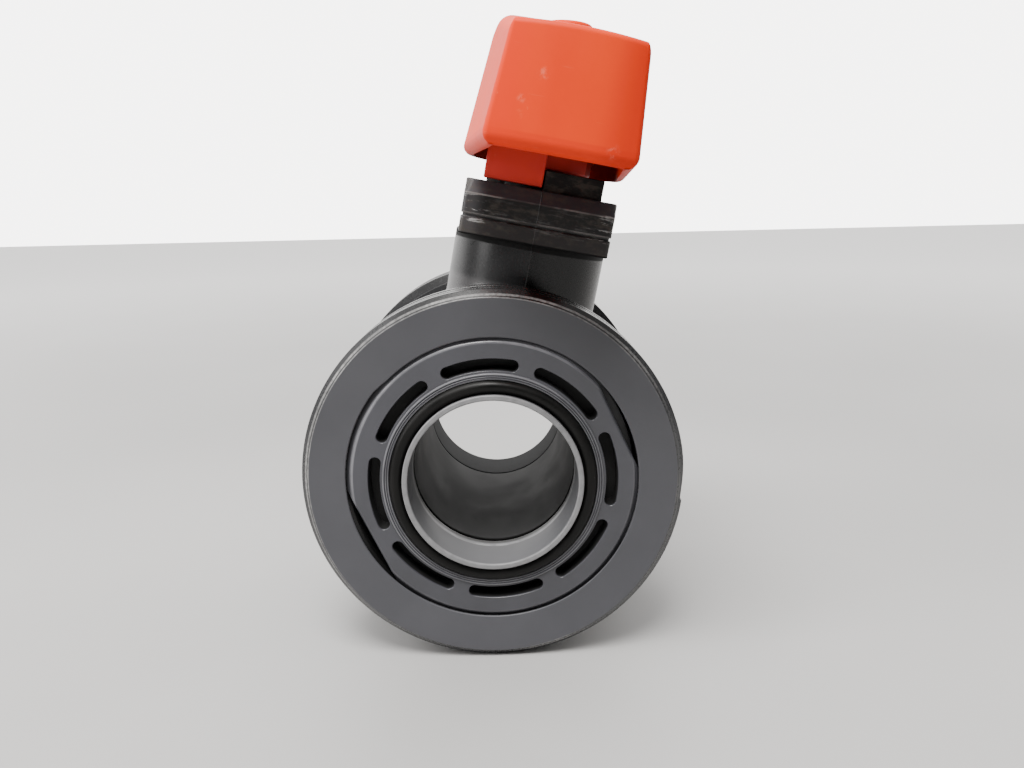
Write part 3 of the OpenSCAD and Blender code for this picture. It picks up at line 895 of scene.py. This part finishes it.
class Nodes(Tree):
    """A short way to write a material."""

    def __init__(self, name):
        self.material = bpy.data.materials.new(name)
        super().__init__(self.material)
        self.shader = self.tree.nodes["Principled BSDF"]
        self.place = self.add("ShaderNodeTexCoord").outputs["Object"]

    def set(self, **values):
        """Values the same all over the surface, on the shader's own sockets."""
        for key, value in values.items():
            self.shader.inputs[key.replace("_", " ")].default_value = value

    def noise(self, scale, detail=4.0, rough=0.55, stretch=(1, 1, 1)):
        mapping = self.add("ShaderNodeMapping")
        mapping.inputs["Scale"].default_value = stretch
        self.link(self.place, mapping.inputs["Vector"])
        node = self.add("ShaderNodeTexNoise")
        node.inputs["Scale"].default_value = scale
        node.inputs["Detail"].default_value = detail
        node.inputs["Roughness"].default_value = rough
        self.link(mapping.outputs["Vector"], node.inputs["Vector"])
        return node.outputs["Fac"]

    def axis(self, which):
        split = self.add("ShaderNodeSeparateXYZ")
        self.link(self.place, split.inputs[0])
        return split.outputs[which]

    def size(self, which):
        """Distance from the middle along one axis."""
        return self.math("ABSOLUTE", self.axis(which))

    def rise(self, value, low, high, top=1.0):
        """0 below one place, top above another; lengths in millimetres."""
        return self.ramp(value, low * MM, high * MM, 0.0, top)

    def fall(self, value, low, high, top=1.0):
        """top below one place, 0 above another; lengths in millimetres."""
        return self.ramp(value, low * MM, high * MM, top, 0.0)

    def band(self, value, low, high, soft):
        """1 between two places, falling to 0 over soft outside them; lengths in millimetres."""
        return self.times(self.rise(value, low - soft, low), self.fall(value, high, high + soft))

    def mix(self, factor, one, two):
        node = self.add("ShaderNodeMix", data_type="RGBA")
        for socket, value in ((node.inputs[0], factor), (node.inputs[6], one), (node.inputs[7], two)):
            if isinstance(value, (int, float)):
                socket.default_value = value
            elif isinstance(value, tuple):
                socket.default_value = (*value, 1.0)
            else:
                self.link(value, socket)
        return node.outputs[2]

    def coat(self, base, colour, *weights):
        """A colour laid over the base, as strongly as the product of the weights."""
        return self.mix(self.times(*weights), base, colour)

    def bump(self, height, strength, distance_mm, below=None):
        node = self.add("ShaderNodeBump")
        node.inputs["Strength"].default_value = strength
        node.inputs["Distance"].default_value = distance_mm * MM
        self.link(height, node.inputs["Height"])
        if below is not None:
            self.link(below, node.inputs["Normal"])
        return node.outputs["Normal"]

    def radius(self, one, other):
        """Distance from the third axis."""
        a, b = self.axis(one), self.axis(other)
        return self.math("SQRT", self.plus(self.times(a, a), self.times(b, b)))

    def distance(self, place):
        """Distance from a place given in millimetres."""
        node = self.add("ShaderNodeVectorMath", operation="DISTANCE")
        self.link(self.place, node.inputs[0])
        node.inputs[1].default_value = [c * MM for c in place]
        return node.outputs["Value"]

    def upper_left(self):
        """1 towards the left of the stem, falling to 0.15 on the other side of the flow axis."""
        return self.ramp(self.math("SUBTRACT", self.axis("Z"), self.axis("X")), -30 * MM, 45 * MM, 0.15)

    def finish(self, colour, roughness, normal=None):
        self.link(colour, self.shader.inputs["Base Color"])
        self.link(roughness, self.shader.inputs["Roughness"])
        if normal is not None:
            self.link(normal, self.shader.inputs["Normal"])
        return self.material


def worn_corner_highlights(m, radius, along, height):
    """Pale rubbed corners on the end rings, painted as highlights most of all at upper left and low on the
    right, where light catches them.
    """
    grain = m.ramp(m.noise(800, 3, 0.6), 0.35, 0.65, 0.5, 1.0)
    patches = m.ramp(m.noise(55, 4, 0.6), 0.46, 0.60, 0.6, 1.0)
    outer = m.band(radius, FACE_R + 0.65, FACE_R + 0.95, 0.25)
    inner = m.times(m.band(radius, FACE_R - 0.1, FACE_R + 0.1, 0.15), 0.8)
    corner = m.times(m.plus(outer, inner), m.band(along, 48.2, 51.2, 0.3))
    low_right = m.math("SUBTRACT", m.times(m.axis("X"), 0.5), m.times(height, 0.866))
    where = m.most(m.upper_left(), m.rise(low_right, 53.5, 56))
    return m.times(corner, grain, m.times(patches, where))


def pad_marks(m, base, on_pad, height):
    """The pad's own colours: painted shade over it, less deep on its bevel and foot, a lighter left end,
    painted highlights along its edges, and smears of grease.
    """
    bevel_z = PAD_TOP - PAD_BEVEL_H
    groove_top = PAD_GROOVE_Z + PAD_GROOVE_H
    # painted shade of the lever over the pad, less deep on its bevel and foot
    base = m.coat(base, (0.0035, 0.0032, 0.0032), on_pad)
    bevel = m.times(m.band(height, bevel_z + 0.2, PAD_TOP - 0.3, 0.3), 0.75)
    base = m.coat(base, (0.032, 0.029, 0.033), bevel)
    foot = m.times(m.band(height, PAD_LOW + 0.4, PAD_GROOVE_Z - 0.2, 0.3), 0.6)
    base = m.coat(base, (0.022, 0.018, 0.018), foot)
    left_end = m.times(on_pad, m.fall(m.axis("X"), -21, -16), 0.35)
    base = m.coat(base, (0.085, 0.083, 0.088), left_end)
    # painted highlights along the edges of the bevel and the groove
    bevel_highlight = m.band(height, bevel_z - 0.1, bevel_z + 0.15, 0.25)
    groove_highlight = m.times(m.band(height, groove_top, groove_top + 0.3, 0.3), 0.6)
    broken = m.ramp(m.noise(130, 3), 0.35, 0.6, 0.2, 0.9)
    base = m.coat(base, (0.15, 0.14, 0.135), m.plus(bevel_highlight, groove_highlight), on_pad, broken)
    smear = m.ramp(m.noise(190, 6, 0.65, (1.0, 1.0, 1.9)), 0.47, 0.66)
    return m.coat(base, (0.050, 0.043, 0.034), on_pad, smear, 0.5)


def pad_scuffs(m, height):
    """Pale scuffs in three bands of the pad, most of all near its ends."""
    scuffs = m.ramp(m.noise(380, 5, 0.7, (0.45, 0.45, 2.6)), 0.53, 0.61)
    ends = m.ramp(m.size("X"), 14 * MM, 21 * MM, 0.12, 1.0)
    bands = m.plus(m.band(height, 76.0, 77.4, 0.8), m.band(height, 73.6, 74.8, 0.6))
    bands = m.plus(bands, m.times(m.band(height, 79.6, 82.3, 0.5), 0.5))
    return m.times(scuffs, ends, bands)


def body_plastic():
    """Dark glossy moulded PVC: grey on its machined faces, worn along its collars and smeared with grease on
    the pad; painted highlights on the collar corners and the neck's foot, painted light low on the faces, and
    painted shade up the neck, in the mouth and on and under the pad.
    """
    m = Nodes("body_plastic")
    cloud = m.noise(28, 4)
    fine = m.noise(900, 3)
    radius, along, height = m.radius("X", "Z"), m.size("Y"), m.axis("Z")
    tone = m.ramp(cloud, 0.3, 0.7)

    # Moulded faces: painted shade up the neck, deeper painted shade on its right half, and a painted
    # highlight on the left of its foot
    moulded = m.mix(tone, (0.021, 0.0213, 0.0225), (0.028, 0.0283, 0.030))
    neck_shade = m.rise(height, 40, 58, 0.75)
    moulded = m.coat(moulded, (0.014, 0.014, 0.0145), neck_shade)
    neck_right_shade = m.times(neck_shade, m.rise(m.axis("X"), -1.5, 1.5, 1.25))
    moulded = m.coat(moulded, (0.001, 0.001, 0.001), neck_right_shade)
    # painted highlight on the left of the neck's foot, where its fillet catches the light
    dust = m.times(m.band(height, 50.0, 54.6, 2.4), m.fall(m.axis("X"), -9, 2, 0.5), m.fall(along, 31, 32))
    moulded = m.coat(moulded, (0.085, 0.083, 0.085), dust)

    # Machined end faces, painted lighter low down as if lit from below
    machined = m.times(m.band(radius, FACE_GROOVE_R, FACE_R - 0.1, 0.2), m.rise(along, 50.3, 50.6))
    upper = m.mix(tone, (0.048, 0.0485, 0.054), (0.058, 0.0585, 0.0645))
    lower = m.mix(tone, (0.063, 0.0635, 0.071), (0.074, 0.0745, 0.083))
    base = m.mix(machined, moulded, m.mix(m.rise(height, -40, 45), lower, upper))

    # Painted shade in the front mouth, behind the face
    mouth = m.times(m.fall(radius, 45.5, 46.5), m.fall(along, 49.6, 50.4), m.fall(m.axis("Y"), -28, -27))
    base = m.coat(base, (0.004, 0.004, 0.004), mouth, 0.85)

    on_pad = m.rise(height, 68.5, 70)
    base = pad_marks(m, base, on_pad, height)
    # pale wear and painted highlights on the collar corners, and scuffs on the pad
    wear_and_highlights = m.plus(worn_corner_highlights(m, radius, along, height), pad_scuffs(m, height))
    base = m.coat(base, (0.36, 0.355, 0.35), wear_and_highlights, 0.8)
    # painted shadow on the neck under the pad's lower edge
    shadow_under_pad = m.times(m.band(height, PAD_LOW - 1.6, PAD_LOW + 0.3, 0.5), 0.97)
    base = m.coat(base, (0.001, 0.001, 0.001), shadow_under_pad)

    # Glossy where moulded; duller when machined, on and under the pad, in the passage and on the stem's top
    rough = m.ramp(m.plus(m.times(cloud, 0.6), m.times(fine, 0.4)), 0.3, 0.7, 0.23, 0.31)
    rough = m.plus(rough, m.times(machined, 0.10), m.times(on_pad, 0.10), m.times(shadow_under_pad, 0.5))
    rough = m.plus(rough, m.fall(radius, 26.2, 27.2, 0.6), m.rise(height, 86.0, 86.3, 0.5))
    m.set(Specular_IOR_Level=0.30)
    return m.finish(base, rough, m.bump(fine, 0.03, 0.05, m.bump(m.noise(60, 3), 0.05, 0.4)))


def ring_plastic():
    """The retainer's smooth grey PVC, with a faint blue tone, painted highlights on its upper-left edges and
    rim lines, and painted shade in its slots, thread and groove wall.
    """
    m = Nodes("ring_plastic")
    cloud = m.noise(60, 4)
    radius, y = m.radius("X", "Z"), m.axis("Y")
    base = m.mix(m.ramp(cloud, 0.3, 0.7), (0.040, 0.0405, 0.047), (0.050, 0.0505, 0.059))
    # painted highlights on the outer and rim edges, mostly at upper left
    outer = m.band(radius, RETAINER_R - 0.8, RETAINER_R + 0.1, 0.25)
    corner = m.plus(outer, m.band(radius, RIM_R - 0.2, RIM_R + 0.1, 0.2))
    patches = m.times(m.ramp(m.noise(60, 4, 0.6), 0.36, 0.62, 0.35, 1.0), m.upper_left())
    base = m.coat(base, (0.30, 0.30, 0.32), corner, patches, 0.40)
    # painted highlight lines round the rim and the groove's edge
    for r in (RIM_R - 0.1, RIM_R - 0.9, FACE_GROOVE_R + 0.15):
        broken = m.ramp(m.noise(90, 3), 0.35, 0.6, 0.35, 0.9)
        base = m.coat(base, (0.16, 0.16, 0.17), m.band(radius, r - 0.05, r + 0.05, 0.1), broken)
    # painted shade in the slots, the thread and the groove wall
    slots = m.times(m.rise(y, -RETAINER_FACE + 0.2, -RETAINER_FACE + 0.8), m.fall(radius, 39.5, 40.5))
    thread = m.rise(y, -RETAINER_FACE + 0.8, -RETAINER_FACE + 1.6)
    groove_wall = m.fall(radius, FACE_GROOVE_R - 0.05, FACE_GROOVE_R + 0.05)
    recess_shade = m.most(m.most(slots, thread), groove_wall)
    base = m.coat(base, (0.002, 0.002, 0.002), recess_shade, 0.97)
    rough = m.plus(m.ramp(cloud, 0.3, 0.7, 0.28, 0.38), m.times(recess_shade, 0.35))
    return m.finish(base, rough, m.bump(m.noise(1200, 3), 0.10, 0.04))


def turned_plastic(name, dark, light, joint_shade, lines, sheen, rough_low):
    """Machined plastic with a pale lip, a painted highlight in front of its end and painted shade at its
    joint; joint_shade is where that shade begins, and where it is full.
    """
    m = Nodes(name)
    m.set(Specular_IOR_Level=sheen)
    cloud = m.noise(70, 4)
    y = m.axis("Y")
    base = m.mix(m.ramp(cloud, 0.3, 0.7), dark, light)
    # painted highlight on the rounded end in front of the joint
    joint_highlight = m.times(m.band(y, -39.0, -37.6, 0.4), m.ramp(m.noise(200, 3), 0.4, 0.6, 0.5, 1.0))
    base = m.coat(base, (0.30, 0.30, 0.31), joint_highlight, 0.8)
    # painted shade in the gap at the joint
    base = m.coat(base, (0.003, 0.003, 0.003), m.rise(y, *joint_shade))
    lip = m.times(m.rise(y, -LIP_Y + 0.9, -LIP_Y + 0.5), m.ramp(m.noise(500, 4), 0.3, 0.7, 0.7, 1.0))
    base = m.coat(base, (0.20, 0.20, 0.205), lip)
    turned = m.noise(lines, 2, 0.5, (0.02, 1.0, 0.02))
    rough = m.ramp(cloud, 0.3, 0.7, rough_low, rough_low + 0.12)
    return m.finish(base, rough, m.bump(turned, 0.25, 0.03))


def rubber():
    """Black greased rubber with dust specks."""
    m = Nodes("black_rubber")
    cloud = m.noise(90, 4)
    base = m.mix(m.ramp(cloud, 0.35, 0.7), (0.0025, 0.0025, 0.0023), (0.005, 0.0048, 0.0045))
    dust = m.ramp(m.noise(1500, 2), 0.76, 0.80)
    base = m.coat(base, (0.25, 0.24, 0.23), dust, 0.4)
    m.set(Specular_IOR_Level=0.18)
    return m.finish(base, m.ramp(cloud, 0.3, 0.7, 0.34, 0.50), m.bump(m.noise(700, 3), 0.10, 0.05))


def waxy_white():
    """White PTFE of the seats."""
    m = Nodes("white_ptfe")
    cloud = m.noise(80, 4)
    base = m.mix(m.ramp(cloud, 0.3, 0.7), (0.78, 0.78, 0.74), (0.86, 0.86, 0.83))
    m.set(Subsurface_Weight=0.15)
    return m.finish(base, m.ramp(cloud, 0.3, 0.7, 0.38, 0.50), m.bump(m.noise(900, 2), 0.1, 0.03))


def orange_plastic():
    """Orange moulded polypropylene: flow marks, pale spots, knocks and scratches, with painted bounce light
    on the lower rim and painted shade on the right, in the hollow round the stem and on the lugs.
    """
    m = Nodes("orange_plastic")
    cloud = m.noise(22, 4)
    fine = m.noise(800, 3)
    x, y, height = m.axis("X"), m.axis("Y"), m.axis("Z")
    base = m.mix(m.ramp(cloud, 0.3, 0.7), (0.69, 0.036, 0.0008), (0.75, 0.046, 0.0014))
    # painted bounce light on the lower rim, deeper and more saturated
    rim_bounce_light = m.times(m.band(height, RIM_Z - 1, RIM_Z + 3.6, 0.6), 0.7)
    base = m.coat(base, (0.62, 0.024, 0.0008), rim_bounce_light)
    # painted shade on the lever's right side, as if lit from the left
    base = m.coat(base, (0.44, 0.014, 0.0006), m.rise(x, 6, 17, 0.8))
    left_of_front = m.times(m.fall(x, -15, -9, 0.6), m.fall(y, -84, -82))
    base = m.coat(base, (0.70, 0.026, 0.0005), left_of_front)

    # Painted shade in the hollow round the stem and on the lugs under the lever
    hollow_shade = m.times(m.fall(m.radius("X", "Y"), 21.5, 23.5), m.band(height, RIM_Z - 2, HUB_TOP - 6, 1.5))
    base = m.coat(base, (0.16, 0.004, 0.001), hollow_shade, 0.85)
    front_lug_shade = m.times(m.band(y, -STOP_OUT - 0.3, -8.0, 0.3), m.fall(m.size("X"), 19.0, 19.5))
    front_lug_shade = m.times(front_lug_shade, m.fall(height, RIM_Z + 6, RIM_Z + 9))
    lug = m.most(front_lug_shade, m.fall(height, RIM_Z - 1.0, RIM_Z + 0.5))
    base = m.coat(base, (0.50, 0.036, 0.028), lug, 0.9)

    # Flow marks on the front, pale spots, knocks and scratches
    folds = m.ramp(m.noise(45, 4, 0.55, (1.0, 1.0, 0.35)), 0.40, 0.62, 0.0, 0.35)
    base = m.coat(base, (0.60, 0.024, 0.0008), folds, m.fall(y, -84, -80))
    for place, size in PALE_SPOTS:
        spot = m.times(m.fall(m.distance(place), 0.2 * size, size), m.ramp(m.noise(900, 4, 0.7), 0.45, 0.60))
        base = m.coat(base, (0.90, 0.42, 0.30), spot, 0.17)
    knocks = m.times(m.ramp(m.noise(210, 5, 0.65), 0.64, 0.70), m.ramp(m.noise(35, 2), 0.48, 0.58))
    base = m.coat(base, (0.85, 0.25, 0.13), knocks, 0.45)
    scratches = m.ramp(m.noise(260, 4, 0.6, (0.25, 1.0, 3.0)), 0.67, 0.73)
    base = m.coat(base, (0.86, 0.30, 0.17), scratches, 0.08)
    rough = m.ramp(m.plus(m.times(cloud, 0.5), m.times(fine, 0.5)), 0.3, 0.7, 0.48, 0.58)
    m.set(Specular_IOR_Level=0.13)
    return m.finish(base, rough, m.bump(fine, 0.10, 0.05, m.bump(m.noise(40, 3), 0.12, 0.5)))


def steel():
    """Turned stainless steel."""
    m = Nodes("screw_steel")
    turned = m.noise(900, 3, 0.6, (1.0, 1.0, 0.1))
    base = m.mix(m.ramp(turned, 0.3, 0.7), (0.50, 0.51, 0.52), (0.68, 0.69, 0.70))
    m.set(Metallic=1.0)
    return m.finish(base, m.ramp(turned, 0.3, 0.7, 0.22, 0.36), m.bump(turned, 0.15, 0.02))


def floor_paint():
    """Plain pale floor, painted lighter far away to blend into the bright background."""
    m = Nodes("pale_floor")
    base = m.mix(m.ramp(m.noise(6, 3), 0.3, 0.7), (0.37, 0.366, 0.362), (0.40, 0.396, 0.392))
    base = m.coat(base, (0.93, 0.925, 0.92), m.ramp(m.distance((0, 0, 0)), 0.25, 1.5))
    return m.finish(base, m.ramp(m.noise(12, 3), 0.3, 0.7, 0.50, 0.58))


def paint(made, material):
    """Gives an object one material all over."""
    made.data.materials.clear()
    made.data.materials.append(material)
    return made


# ---------------- the object
def place(made, body, node, slot, material):
    """Puts a piece on its body in the place of a CAD node, with its material; slot is not used."""
    paint(made, material)
    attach(made, body)
    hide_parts(node)


BODY_PLASTIC = body_plastic()
RUBBER = rubber()
WHITE = waxy_white()
ORANGE = orange_plastic()
STEEL = steel()

place(make_body(), "valve_body", "body", "body_pvc", BODY_PLASTIC)
place(make_retainer(), "valve_body", "seat_retainer", "ring_pvc", ring_plastic())
carrier_finish = turned_plastic(
    "carrier_plastic", (0.064, 0.065, 0.070), (0.078, 0.079, 0.085), joint_shade=(-37.0, -36.5),
    lines=1400, sheen=0.35, rough_low=0.30,
)
place(make_carrier(), "valve_body", "seat_carrier", "carrier_plastic", carrier_finish)
ball_finish = turned_plastic(
    "ball_plastic", (0.036, 0.036, 0.0365), (0.046, 0.046, 0.047), joint_shade=(-32.6, -33.2),
    lines=1000, sheen=0.08, rough_low=0.55,
)
place(make_ball(), "operating_group", "ball", "ball_pvc", ball_finish)
place(make_lever(), "operating_group", "lever", "lever_orange", ORANGE)
place(make_cap(), "operating_group", "hub_cap", "lever_orange", ORANGE)

KEPT_NODES = {
    "carrier_o_ring": RUBBER, "front_face_o_ring": RUBBER, "rear_face_o_ring": RUBBER,
    "front_seat_cushion": RUBBER, "rear_seat_cushion": RUBBER, "lower_stem_o_ring": RUBBER,
    "upper_stem_o_ring": RUBBER, "front_seat": WHITE, "rear_seat": WHITE, "stem_thrust_washer": WHITE,
    "stem": BODY_PLASTIC, "lever_screw": STEEL, "lever_washer": STEEL,
}
for node, material in KEPT_NODES.items():
    paint(frame["nodes"][node], material)

# ---------------- camera, floor and light
FOCAL_SHARE = 850 / 1024
CAMERA_AT = Vector((-10.75, -292.6, 82.3))
CAMERA_FORWARD = Vector((0.04454, 0.97682, -0.20937))
CAMERA_UP = Vector((-0.17041, 0.21393, 0.96187))
FLOOR_LEAN = radians(11.4)
FLOOR_HALF = 3.0  # metres
WORLD_SHOWN = 6.0
WORLD_BACK = 2.2
WORLD_TOP = 0.9
WORLD_LEFT = 0.5
WORLD_FRONT = 0.06
KEY_POWER = 23.0
SIDE_POWER = 7.0


def make_camera():
    data = bpy.data.cameras.new("camera")
    data.sensor_width = 36.0
    data.lens = FOCAL_SHARE * data.sensor_width
    data.clip_start, data.clip_end = 0.01, 20
    camera = new_object("camera", data)
    right = CAMERA_FORWARD.cross(CAMERA_UP).normalized()
    up = right.cross(CAMERA_FORWARD).normalized()
    turned = Matrix((right, up, -CAMERA_FORWARD.normalized())).transposed().to_4x4()
    camera.matrix_world = Matrix.Translation(CAMERA_AT * MM) @ turned
    bpy.context.scene.camera = camera


def make_floor():
    """A wide plate under the valve, which lies on its two collars with the stem leaning."""
    mesh = bpy.data.meshes.new("floor")
    corners = [(x, y, 0) for x, y in box_outline(-FLOOR_HALF, -FLOOR_HALF, FLOOR_HALF, FLOOR_HALF)]
    mesh.from_pydata(corners, [], [(0, 1, 2, 3)])
    floor = new_object("floor", mesh)
    lean = Matrix.Rotation(-FLOOR_LEAN, 4, "Y")
    floor.matrix_world = lean @ Matrix.Translation((0, 0, -UNION_R * MM))
    paint(floor, floor_paint())


def area_light(name, at, target, size, power, colour):
    data = bpy.data.lights.new(name, "AREA")
    data.shape = "RECTANGLE"
    data.size, data.size_y = size
    data.energy = power
    data.color = colour
    light = new_object(name, data)
    light.location = at
    light.rotation_euler = (Vector(target) - Vector(at)).to_track_quat("-Z", "Y").to_euler()
    light.visible_camera = False


def make_world():
    """A pale room: bright behind and above the valve, dim in front of it and to the right."""
    world = bpy.data.worlds.new("studio")
    w = Tree(world)
    split = w.add("ShaderNodeSeparateXYZ")
    w.link(w.add("ShaderNodeTexCoord").outputs["Generated"], split.inputs[0])
    x, y, z = split.outputs
    glow = w.plus(w.ramp(y, 0.1, 0.5, 0.0, WORLD_BACK), w.ramp(z, 0.3, 0.9, 0.0, WORLD_TOP))
    glow = w.plus(glow, w.plus(w.ramp(x, -0.4, -0.95, 0.0, WORLD_LEFT), WORLD_FRONT))
    seen = w.add("ShaderNodeLightPath").outputs["Is Camera Ray"]
    shown = w.plus(w.times(seen, WORLD_SHOWN), w.times(w.math("SUBTRACT", 1.0, seen), glow))
    background = w.tree.nodes["Background"]
    w.link(shown, background.inputs["Strength"])
    background.inputs["Color"].default_value = (1.0, 0.985, 0.97, 1)
    bpy.context.scene.world = world


def make_light():
    area_light("key", (-0.33, -0.48, 0.95), (0, 0, 0), (0.5, 0.4), KEY_POWER, (1.0, 0.985, 0.96))
    area_light("side", (-0.95, -0.32, 0.35), (0, 0, 0.02), (0.35, 0.7), SIDE_POWER, (1.0, 0.99, 0.98))


make_camera()
make_floor()
make_world()
make_light()
